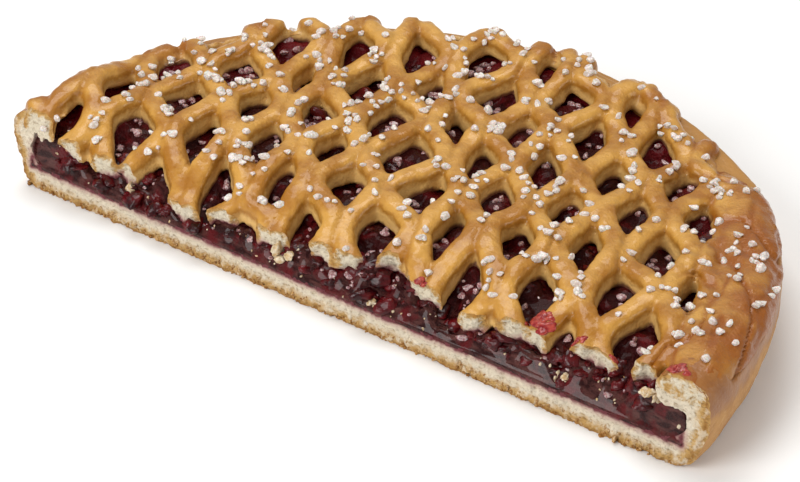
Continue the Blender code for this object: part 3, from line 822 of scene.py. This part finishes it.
def strand_tear(x, z):
    """How far behind the cut each strand is torn off; at the ends it follows the rim's tear."""
    ragged = rough(Vector((x, 0.03, z)), RAGGED_ENDS)
    ends = BREAK_LINE + bumps(x, BREAKS) + ragged + BREAK_SLANT * max(BREAK_TOP - max(z, BREAK_FOOT), 0.0)
    rim = smooth_step(0.1135, 0.1190, abs(x))
    return ends + (end_tear(x, z) - 0.0002 - ends) * rim


def seam(vert):
    """Depth of the crease where the two nearest strands meet, and how much one overlaps the other."""
    nearest = {}
    for _, index, distance in strand_tree.find_n((vert.co.x, vert.co.y, 0.0), 36):
        nearest.setdefault(strand_of[index], distance)
    if len(nearest) < 2 or vert.normal.z < 0.1:
        return 0.0, 0.0
    (first, near), (second, far) = sorted(list(nearest.items())[:2])
    apart = near - far
    strength = smooth_step(-0.45, 0.25, noise.noise(vert.co / 0.013)) * smooth_step(0.1, 0.5, vert.normal.z)
    crease = math.exp(-((apart / SEAM_WIDTH) ** 2)) * strength
    side = smooth_step(-0.2, 0.2, noise.noise(vert.co / 0.019 + Vector((5.0, 0.0, 0.0)))) * 2.0 - 1.0
    lap = math.tanh(apart / 0.0010) * math.exp(-abs(apart) / SEAM_FADE) * side
    return crease, lap * smooth_step(0.2, 0.6, vert.normal.z)


def fold(vert):
    """Depth of the long creases that the pressing and rolling left in the broad margin."""
    angle = direction(vert.co.x, vert.co.y)
    radius = from_centre(vert.co.x, vert.co.y)
    wide = (1.0 - past_margin(angle, 0.1, 0.4)) * smooth_step(0.100, 0.108, radius)
    place = Vector((angle * 3.2 + radius * 26.0, radius / 0.019, vert.co.z / 0.030))
    line = abs(noise.noise(place) + 0.35 * noise.noise(place * 2.6))
    return wide * (1.0 - smooth_step(0.0, FOLD_WIDTH, line))


def below_crown(vert):
    """How far below the crown of its strand a point lies, in millimetres."""
    return 1000.0 * (strand_crown(vert.co.x, vert.co.y, 0.0) - vert.co.z)


def browning(vert):
    """From 0, golden, to 1, brown: the rim and the bare margin on the right baked darkest."""
    angle = direction(vert.co.x, vert.co.y)
    radius = from_centre(vert.co.x, vert.co.y)
    margin = 1.0 - past_margin(angle, 0.3, 0.5)
    rim = smooth_step(0.1180 - 0.010 * margin, 0.1340, radius)
    return rim * (RIM_BROWN + MARGIN_BROWN * margin) + 0.14 * smooth_step(0.090, 0.125, radius) * margin


def glazed_dough():
    """Egg-washed dough: smooth, glossy and golden on the crowns of the strands, with painted shade on
    their shoulders and in their creases, browner on the rim, paler down in the openings, where the
    juice stains it purple."""
    made, tree, place = new_material("egg_glazed_dough")
    below = add(tree, "Attribute", attribute_name="below_crown", output="Fac")
    brown = add(tree, "Attribute", attribute_name="browning", output="Fac")
    juice = add(tree, "Attribute", attribute_name="from_filling", output="Fac")
    creased = add(tree, "Attribute", attribute_name="crease", output="Fac")
    clouds = add(tree, "TexNoise", {"Vector": place, "Scale": per_mm(11.0), "Detail": 3.0})
    spots = add(tree, "TexNoise", {"Vector": place, "Scale": per_mm(2.6), "Detail": 4.0, "Roughness": 0.6})
    fine = add(tree, "TexNoise", {"Vector": place, "Scale": per_mm(0.9), "Detail": 3.0})
    even = add(tree, "MapRange", {"Value": clouds, "From Min": 0.40, "From Max": 0.62})
    gold = add(tree, "Mix", {SHARE: even, FIRST: linear("#C79342"), SECOND: linear("#A2691D")}, **COLOURS)
    spotted = add(tree, "Math", {0: spots, 1: 3.4, 2: -1.7}, operation="MULTIPLY_ADD")
    shoulder = add(tree, "Math", {0: below, 1: spotted}, operation="ADD")
    # painted shade: the strands' shoulders turn darker below the crown; the same share also roughens them
    shoulder_shade = add(tree, "MapRange", {"Value": shoulder, "From Min": 0.6, "From Max": 2.3, "To Max": 0.80},
                interpolation_type="SMOOTHSTEP")
    # painted shade: darker in the creases and folds
    painted_crease_shade = add(tree, "Math", {0: creased, 1: 0.30}, operation="MULTIPLY")
    shaded = add(tree, "Math", {0: shoulder_shade, 1: painted_crease_shade}, operation="MAXIMUM")
    gold_with_painted_shade = add(tree, "Mix", {SHARE: shaded, FIRST: gold, SECOND: linear("#99641C")}, **COLOURS)
    lower = add(tree, "MapRange", {"Value": shoulder, "From Min": 2.3, "From Max": 4.2})
    walled = add(tree, "Mix", {SHARE: lower, FIRST: gold_with_painted_shade, SECOND: linear("#D4AA66")}, **COLOURS)
    baked = add(tree, "Math", {0: clouds, 1: 1.4, 2: -0.72}, operation="MULTIPLY_ADD")
    # painted shade in the creases, added to the real patches of browning
    dark = add(tree, "Math", {0: creased, 1: 0.50, 2: baked}, operation="MULTIPLY_ADD")
    weight = add(tree, "MapRange", {"Value": brown, "From Max": 0.25})
    patchy = add(tree, "Math", {0: dark, 1: weight, 2: brown}, operation="MULTIPLY_ADD")
    browned_and_crease_shaded = add(tree, "Math", {0: creased, 1: 0.12, 2: patchy}, operation="MULTIPLY_ADD", use_clamp=True)
    toasted = add(tree, "Mix", {SHARE: browned_and_crease_shaded, FIRST: walled, SECOND: linear("#904E0C")}, **COLOURS)
    reach = add(tree, "Math", {0: spots, 1: -2.0, 2: 1.0}, operation="MULTIPLY_ADD")
    soaked = add(tree, "Math", {0: juice, 1: reach}, operation="ADD")
    stain = add(tree, "MapRange", {"Value": soaked, "From Min": 1.9, "From Max": 0.3, "To Max": 0.9},
                interpolation_type="SMOOTHSTEP")
    colour = add(tree, "Mix", {SHARE: stain, FIRST: toasted, SECOND: linear("#5B2A2A")}, **COLOURS)
    gloss = add(tree, "MapRange", {"Value": shoulder_shade, "To Min": 0.34, "To Max": 0.60})
    creases = add(tree, "Bump", {"Height": spots, "Strength": 0.55, "Distance": 0.0009})
    bump = add(tree, "Bump", {"Height": fine, "Normal": creases, "Strength": 0.45, "Distance": 0.0006})
    shader = add(tree, "BsdfPrincipled", {"Base Color": colour, "Roughness": gloss, "Coat Weight": 0.32,
                                          "Coat Roughness": 0.12, "Specular IOR Level": 0.36,
                                          "Specular Tint": linear("#F8E4C6"), "Normal": bump})
    add(tree, "OutputMaterial", {"Surface": shader})
    return made


bm = bmesh.new()
for number in STRANDS:
    add_strand(bm, number)
bmesh.ops.recalc_face_normals(bm, faces=bm.faces)
roll = spun([Vector(point) for point in ROLL_OUTLINE], closed=True)
for vert in roll.verts:
    offset = vert.co - PIE_CENTRE
    radius = offset.xy.length
    angle = direction(vert.co.x, vert.co.y)
    margin = 1.0 - smooth_step(math.radians(22.0), MARGIN_END + 0.1, abs(angle + 0.02))
    scalloped = past_margin(angle)
    inner = smooth_step(ROLL_RADIUS, 0.117, radius)
    margin *= smooth_step(0.0, 0.022, vert.co.y - CUT_Y)
    narrow = 0.0 if radius > ROLL_RADIUS else NARROWER * (ROLL_RADIUS - radius)
    grown = radius - ROLL_WIDER * inner * margin
    grown += narrow * scalloped * smooth_step(0.008, 0.018, vert.co.y - CUT_Y)
    grown -= ROLL_DRAWN_IN * scalloped * smooth_step(ROLL_RADIUS, 0.1300, radius)
    grown += 0.0005 * (1.0 - scalloped) * smooth_step(0.1300, 0.1340, radius)
    outward = Vector((offset.x / radius, offset.y / radius, 0.0))
    vert.co += outward * (grown - radius)
    vert.co.z -= ROLL_SUNK * inner * margin + ROLL_LOWER * scalloped * smooth_step(0.0255, 0.030, vert.co.z)
    hook = smooth_step(0.105, 0.112, -vert.co.x) * (1.0 - smooth_step(0.006, 0.012, vert.co.y - CUT_Y))
    thinner = ROLL_THINNER * inner * margin + HOOK_LIFTED * hook
    vert.co.z += thinner * (1.0 - smooth_step(0.0245, 0.0285, vert.co.z))
shape_wall(roll)
bm.from_mesh(mesh_from(roll, "roll"))
bmesh.ops.bisect_plane(bm, geom=bm.verts[:] + bm.edges[:] + bm.faces[:], dist=0.00001,
                       plane_co=(0.0, CUT_Y - 0.003, 0.0), plane_no=(0.0, 1.0, 0.0), clear_inner=True)
bmesh.ops.holes_fill(bm, edges=open_edges(bm), sides=0)
lattice = object_from(bm, "lattice_lid_dough", glazed_dough())
merge = lattice.modifiers.new("merge", "REMESH")
merge.mode = "VOXEL"
merge.voxel_size = VOXEL
soften = lattice.modifiers.new("soften", "SMOOTH")
soften.factor = 0.5
soften.iterations = SOFTENED
settle(lattice)
strand_points = [(number, point) for number in STRANDS for point in strand_line(number, SEAM_GAP)]
strand_of = [number for number, _ in strand_points]
strand_tree = KDTree(len(strand_points))
for index, (_, point) in enumerate(strand_points):
    strand_tree.insert((point.x, point.y, 0.0), index)
strand_tree.balance()
creases, shifts = [], []
for vert in lattice.data.vertices:
    crease, lap = seam(vert)
    folded = fold(vert)
    creases.append(max(crease, folded))
    height = rough(vert.co, SKIN_WANDER) + lap * SEAM_STEP - crease * SEAM_DEPTH - folded * FOLD_DEPTH
    shifts.append(vert.normal * height)
for vert, shift in zip(lattice.data.vertices, shifts):
    vert.co += shift
# the material paints shade into these creases
write_value(lattice, "crease", lambda vert: creases[vert.index])
whole_lattice = tree_of(lattice, steepest=-0.3)
lid_crumb = torn_crumb("torn_crumb_of_the_lid", 1.5, "#E4D7BE", "#C9A062", "#AE7835")
tear_off(lattice, torn_block(strand_tear, lid_crumb, 1.0))
write_distance(lattice, "skin_depth", whole_lattice)
write_distance(lattice, "from_filling", filling_tree)
# the material paints shade on the shoulders from this depth
write_value(lattice, "below_crown", below_crown)
write_value(lattice, "browning", browning)
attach(lattice, "root")
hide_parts("lattice_lid")

# ---------------------------------------------------------------- coarse sugar
# Coarse pearl sugar, scattered by hand before baking: hard white grains two to three millimetres
# wide, in loose clusters.  On the dough they stay dry; on the filling they are wet and sunken.
SUGAR_CLUSTERS = 330
GRAINS_IN_CLUSTER = (1, 4)
CLUSTER_SPREAD = 0.0050
SUGAR_RADIUS = 0.129               # from the pie's middle to the farthest clusters
FRONT_CLUSTERS = 60                # of finer grains, in the jelly that lies open along the cut
GRAIN_SIZES = (0.0012, 0.0022)     # half lengths, before the flats are broken off
FLATS_ON_GRAIN = 10
HIGHEST_GRAIN = cad_box[1].z + 0.0008


def sugar_grain(chance):
    """One grain of unit half width: a small pebble broken flat on several sides."""
    bm = bmesh.new()
    bmesh.ops.create_icosphere(bm, subdivisions=2, radius=1.0)
    for _ in range(FLATS_ON_GRAIN):
        facing = Vector([chance.gauss(0.0, 1.0) for _ in range(3)]).normalized()
        reach = chance.uniform(0.55, 0.74)
        for vert in bm.verts:
            vert.co -= facing * max(0.0, vert.co.dot(facing) - reach)
    return mesh_from(bm, "grain")


def sugar_glass(name, body, clear, roughness):
    """Pressed sugar: milky white crystals, a little see-through, with small glinting faces; a
    crystal grain of a third of a millimetre breaks the light inside it."""
    made, tree, place = new_material(name)
    crystals = add(tree, "TexNoise", {"Vector": place, "Scale": per_mm(0.7), "Detail": 3.0})
    share = add(tree, "MapRange", {"Value": crystals, "From Min": 0.42, "From Max": 0.60})
    colour = add(tree, "Mix", {SHARE: share, FIRST: linear(clear), SECOND: linear(body)}, **COLOURS)
    bump = add(tree, "Bump", {"Height": crystals, "Strength": 0.5, "Distance": 0.0003})
    shader = add(tree, "BsdfPrincipled", {"Base Color": colour, "Roughness": roughness, "IOR": 1.5,
                                          "Transmission Weight": 0.22, "Subsurface Weight": 0.15,
                                          "Subsurface Scale": 0.0008, "Normal": bump})
    add(tree, "OutputMaterial", {"Surface": shader})
    return made


lattice_tree = tree_of(lattice)
draw = random.Random(5)
grains = [sugar_grain(draw) for _ in range(7)]
dry, wet = bmesh.new(), bmesh.new()
for cluster in range(SUGAR_CLUSTERS + FRONT_CLUSTERS):
    around = draw.uniform(0.0, math.pi)
    out = SUGAR_RADIUS * math.sqrt(draw.random())
    middle = PIE_CENTRE + Vector((out * math.cos(around), out * math.sin(around), 0.0))
    at_front = cluster >= SUGAR_CLUSTERS
    if at_front:
        middle = Vector((draw.uniform(-0.118, 0.118), CUT_Y + draw.uniform(0.002, 0.010), 0.0))
    for grain in range(draw.randint(*GRAINS_IN_CLUSTER)):
        spot = middle + Vector((draw.gauss(0.0, CLUSTER_SPREAD), draw.gauss(0.0, CLUSTER_SPREAD), 0.060))
        size = draw.uniform(*GRAIN_SIZES) * (0.5 if at_front else 1.0)
        turn = tipped(draw, 0.5)
        flat = (size, size * draw.uniform(0.65, 0.95), size * draw.uniform(0.50, 0.80), 1.0)
        stretch = Matrix.Diagonal(flat)
        shape = draw.choice(grains)
        onto_dough = lattice_tree.ray_cast(spot, Vector((0.0, 0.0, -1.0)))
        onto_jelly = filling_tree.ray_cast(spot, Vector((0.0, 0.0, -1.0)))
        if onto_dough[0] is not None and onto_dough[0].z > 0.020:
            if onto_dough[1].z > 0.55 and not at_front:
                rest = onto_dough[0] + onto_dough[1] * size * 0.22
                rest.z = min(rest.z, HIGHEST_GRAIN - size * 0.75)
                add_copy(dry, shape, Matrix.Translation(rest) @ turn @ stretch)
        elif onto_jelly[0] is not None and onto_jelly[0].y > CUT_Y + 0.001:
            rest = onto_jelly[0] + Vector((0.0, 0.0, size * 0.1))
            add_copy(wet, shape, Matrix.Translation(rest) @ turn @ stretch)
dry_sugar = object_from(dry, "coarse_sugar", sugar_glass("pearl_sugar", "#F8F1EA", "#DACABD", 0.26))
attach(dry_sugar, "root")
wet_sugar = object_from(wet, "wet_sugar", sugar_glass("juice_soaked_sugar", "#D6BAB8", "#986469", 0.12))
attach(wet_sugar, "root")

# ---------------------------------------------------------------- jam smears
# Where the strands tore, jelly was dragged up onto them: thin glossy red smears a few millimetres
# wide near the broken ends and on the lip of the right end.
SMEARS = (                         # (place along the cut, behind the cut, half width)
    (0.0299, 0.0042, 0.0013), (0.0721, 0.0080, 0.0026), (0.0850, 0.0050, 0.0016),
    (0.1000, 0.0060, 0.0015), (0.1215, 0.0024, 0.0020),
)
SMEAR_DROPS = 16
SMEAR_THICKNESS = 0.32             # of a drop, as a share of its half width


def smeared_jam():
    """A thin smear of cherry jelly: bright translucent red over the golden dough, glossy."""
    made, tree, place = new_material("smeared_cherry_jelly")
    thick = add(tree, "TexNoise", {"Vector": place, "Scale": per_mm(1.6), "Detail": 3.0})
    share = add(tree, "MapRange", {"Value": thick, "From Min": 0.40, "From Max": 0.62})
    colour = add(tree, "Mix", {SHARE: share, FIRST: linear("#B0493C"), SECOND: linear("#85191D")},
                 **COLOURS)
    shader = add(tree, "BsdfPrincipled", {"Base Color": colour, "Roughness": 0.18, "IOR": 1.42,
                                          "Subsurface Weight": 0.3, "Subsurface Scale": 0.001,
                                          "Subsurface Radius": (1.0, 0.3, 0.2)})
    add(tree, "OutputMaterial", {"Surface": shader})
    return made


draw = random.Random(23)
smears = bmesh.new()
for along, behind, half in SMEARS:
    for _ in range(SMEAR_DROPS):
        above = Vector((along + draw.gauss(0.0, half), CUT_Y + behind + draw.gauss(0.0, half * 0.6), 0.060))
        spot, slant, _, _ = lattice_tree.ray_cast(above, Vector((0.0, 0.0, -1.0)))
        if spot is None or spot.z < 0.016 or slant.z < 0.25:
            continue
        size = half * draw.uniform(0.35, 0.75)
        drop = Matrix.Diagonal((size * draw.uniform(0.8, 1.6), size, size * SMEAR_THICKNESS, 1.0))
        facing = slant.to_track_quat("Z", "Y").to_matrix().to_4x4()
        spin = Matrix.Rotation(draw.uniform(0.0, math.tau), 4, "Z")
        add_copy(smears, draw.choice(lumps), Matrix.Translation(spot) @ facing @ spin @ drop)
smears = object_from(smears, "jam_smears", smeared_jam())
smears.data.shade_smooth()
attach(smears, "root")

# ---------------------------------------------------------------- pastry crumbs
# What broke off when the pie was torn in half: torn bits of strand lying on the jelly, fine
# crumbs everywhere near the break, and the crumbled brown skin along the foot of the base.
TORN_BITS = (                      # (place along the cut, behind the cut, height or None, half width)
    (-0.0874, 0.0036, None, 0.0026), (-0.0850, 0.0030, None, 0.0018), (-0.0237, 0.0022, None, 0.0034),
    (-0.0200, 0.0026, None, 0.0020), (0.0127, 0.0016, None, 0.0017), (0.0155, 0.0014, None, 0.0012),
    (0.0827, 0.0020, None, 0.0018), (0.0850, 0.0024, None, 0.0013), (0.1150, 0.0012, 0.0205, 0.0022),
    (0.1172, 0.0018, 0.0190, 0.0014), (0.1262, 0.0026, 0.0135, 0.0016), (0.1258, 0.0022, 0.0115, 0.0011),
)
FINE_CRUMBS = 80
FOOT_CRUMBS = 520
FOOT_HEIGHT = 0.0030
HANGING_FLAKES = (                 # (place along the cut, half width)
    (0.1010, 0.0022), (0.1050, 0.0030), (0.1085, 0.0022), (-0.1290, 0.0016), (-0.0720, 0.0014),
)


def loose_crumbs():
    """Dry broken pastry: toasted brown near the table where the skin crumbled, pale crumb above,
    in patches about a millimetre wide."""
    made, tree, place = new_material("dry_pastry_crumbs")
    height = add(tree, "SeparateXYZ", {0: place}, output=2)
    patches = add(tree, "TexNoise", {"Vector": place, "Scale": per_mm(1.4), "Detail": 4.0,
                                     "Roughness": 0.7})
    wander = add(tree, "Math", {0: patches, 1: 0.010, 2: height}, operation="MULTIPLY_ADD")
    pale = add(tree, "MapRange", {"Value": wander, "From Min": 0.0060, "From Max": 0.0115})
    crust_bits = add(tree, "MapRange", {"Value": patches, "From Min": 0.42, "From Max": 0.60})
    brown = add(tree, "Mix", {SHARE: crust_bits, FIRST: linear("#8E5E2C"), SECOND: linear("#C89B5C")},
                **COLOURS)
    white = add(tree, "Mix", {SHARE: crust_bits, FIRST: linear("#C9A878"), SECOND: linear("#E6D8BF")},
                **COLOURS)
    colour = add(tree, "Mix", {SHARE: pale, FIRST: brown, SECOND: white}, **COLOURS)
    bump = add(tree, "Bump", {"Height": patches, "Strength": 0.9, "Distance": 0.0008})
    shader = add(tree, "BsdfPrincipled", {"Base Color": colour, "Roughness": 0.9,
                                          "Specular IOR Level": 0.2, "Normal": bump})
    add(tree, "OutputMaterial", {"Surface": shader})
    return made


def crumb(bm, shape, spot, size, flatness=0.7):
    """Adds one broken crumb, turned at random about all three axes."""
    stretch = Matrix.Diagonal((size * draw.uniform(0.8, 1.5), size, size * flatness, 1.0))
    turn = Matrix.Identity(4)
    for axis in "XYZ":
        turn = turn @ Matrix.Rotation(draw.uniform(0.0, math.tau), 4, axis)
    add_copy(bm, shape, Matrix.Translation(spot) @ turn @ stretch)


draw = random.Random(47)
coarse_bits = [lump(3, ((0.9, 0.70), (0.40, 0.32), (0.18, 0.12)), 20.0 + kind) for kind in range(4)]
fine_bits = [lump(1, ((0.9, 0.70), (0.4, 0.40)), 30.0 + kind) for kind in range(5)]
crumbs = bmesh.new()
for along, behind, height, half in TORN_BITS:
    y = CUT_Y + face_behind(along) + behind
    rest = height or max(jelly_height(along, y), BASE_TOP) + half * 0.35
    for part in range(2):
        wander = Vector([draw.gauss(0.0, half * 0.35) for _ in range(3)])
        size = half * (0.80 - 0.2 * part)
        crumb(crumbs, draw.choice(coarse_bits), Vector((along, y, rest)) + wander, size, flatness=0.5)
for _ in range(FINE_CRUMBS):
    x = draw.uniform(-0.122, 0.122)
    y = CUT_Y + face_behind(x) + abs(draw.gauss(0.0, 0.0045))
    crumb(crumbs, draw.choice(fine_bits), Vector((x, y, max(jelly_height(x, y), BASE_TOP))),
          draw.uniform(0.0002, 0.0006))
for _ in range(FOOT_CRUMBS):
    x = draw.uniform(-0.126, 0.126)
    z = FOOT_HEIGHT * draw.random() ** 1.3
    y = CUT_Y + end_tear(x, z) + draw.uniform(0.0, 0.0007)
    size = draw.uniform(0.0003, 0.0009)
    crumb(crumbs, draw.choice(fine_bits), Vector((x, y, max(z, size * 0.6))), size)
for x, half in HANGING_FLAKES:
    spot = Vector((x, CUT_Y + end_tear(x, 0.0) + 0.0004, half * 0.35))
    crumb(crumbs, coarse_bits[0], spot, half * 0.6, flatness=0.35)
for vert in crumbs.verts:
    vert.co.z = max(vert.co.z, 0.0)
crumbs = object_from(crumbs, "pastry_crumbs", loose_crumbs())
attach(crumbs, "root")

# ---------------------------------------------------------------- floor and light
# A plain pale table top, a big soft light above and behind the pie on the left, another one in
# front of it, a weak one on the right, and a pale room all round.
FLOOR_SIZE = 6.0
ROOM_LIGHT = 0.42

bm = bmesh.new()
bmesh.ops.create_grid(bm, x_segments=1, y_segments=1, size=FLOOR_SIZE / 2.0)
made, tree, _ = new_material("pale_table_top")
shader = add(tree, "BsdfPrincipled", {"Base Color": linear("#F6F5F3"), "Roughness": 0.9})
add(tree, "OutputMaterial", {"Surface": shader})
floor = object_from(bm, "floor", made)

world = bpy.data.worlds.new("pale_room")
world.use_nodes = True
world.node_tree.nodes["Background"].inputs["Color"].default_value = (1.0, 1.0, 1.0, 1.0)
world.node_tree.nodes["Background"].inputs["Strength"].default_value = ROOM_LIGHT
scene.world = world


def soft_light(name, place, size, power):
    """A square soft box that looks at the middle of the pie."""
    lamp = bpy.data.lights.new(name, "AREA")
    lamp.shape = "SQUARE"
    lamp.size = size
    lamp.energy = power
    made = bpy.data.objects.new(name, lamp)
    made.location = place
    made.rotation_euler = (-Vector(place)).to_track_quat("-Z", "Y").to_euler()
    scene.collection.objects.link(made)


soft_light("overhead", (-0.45, 0.35, 1.25), 0.8, 10.5)
soft_light("front_fill", (-0.25, -1.05, 0.70), 0.7, 10.0)
soft_light("from_the_right", (1.10, 0.25, 0.50), 0.5, 3.0)
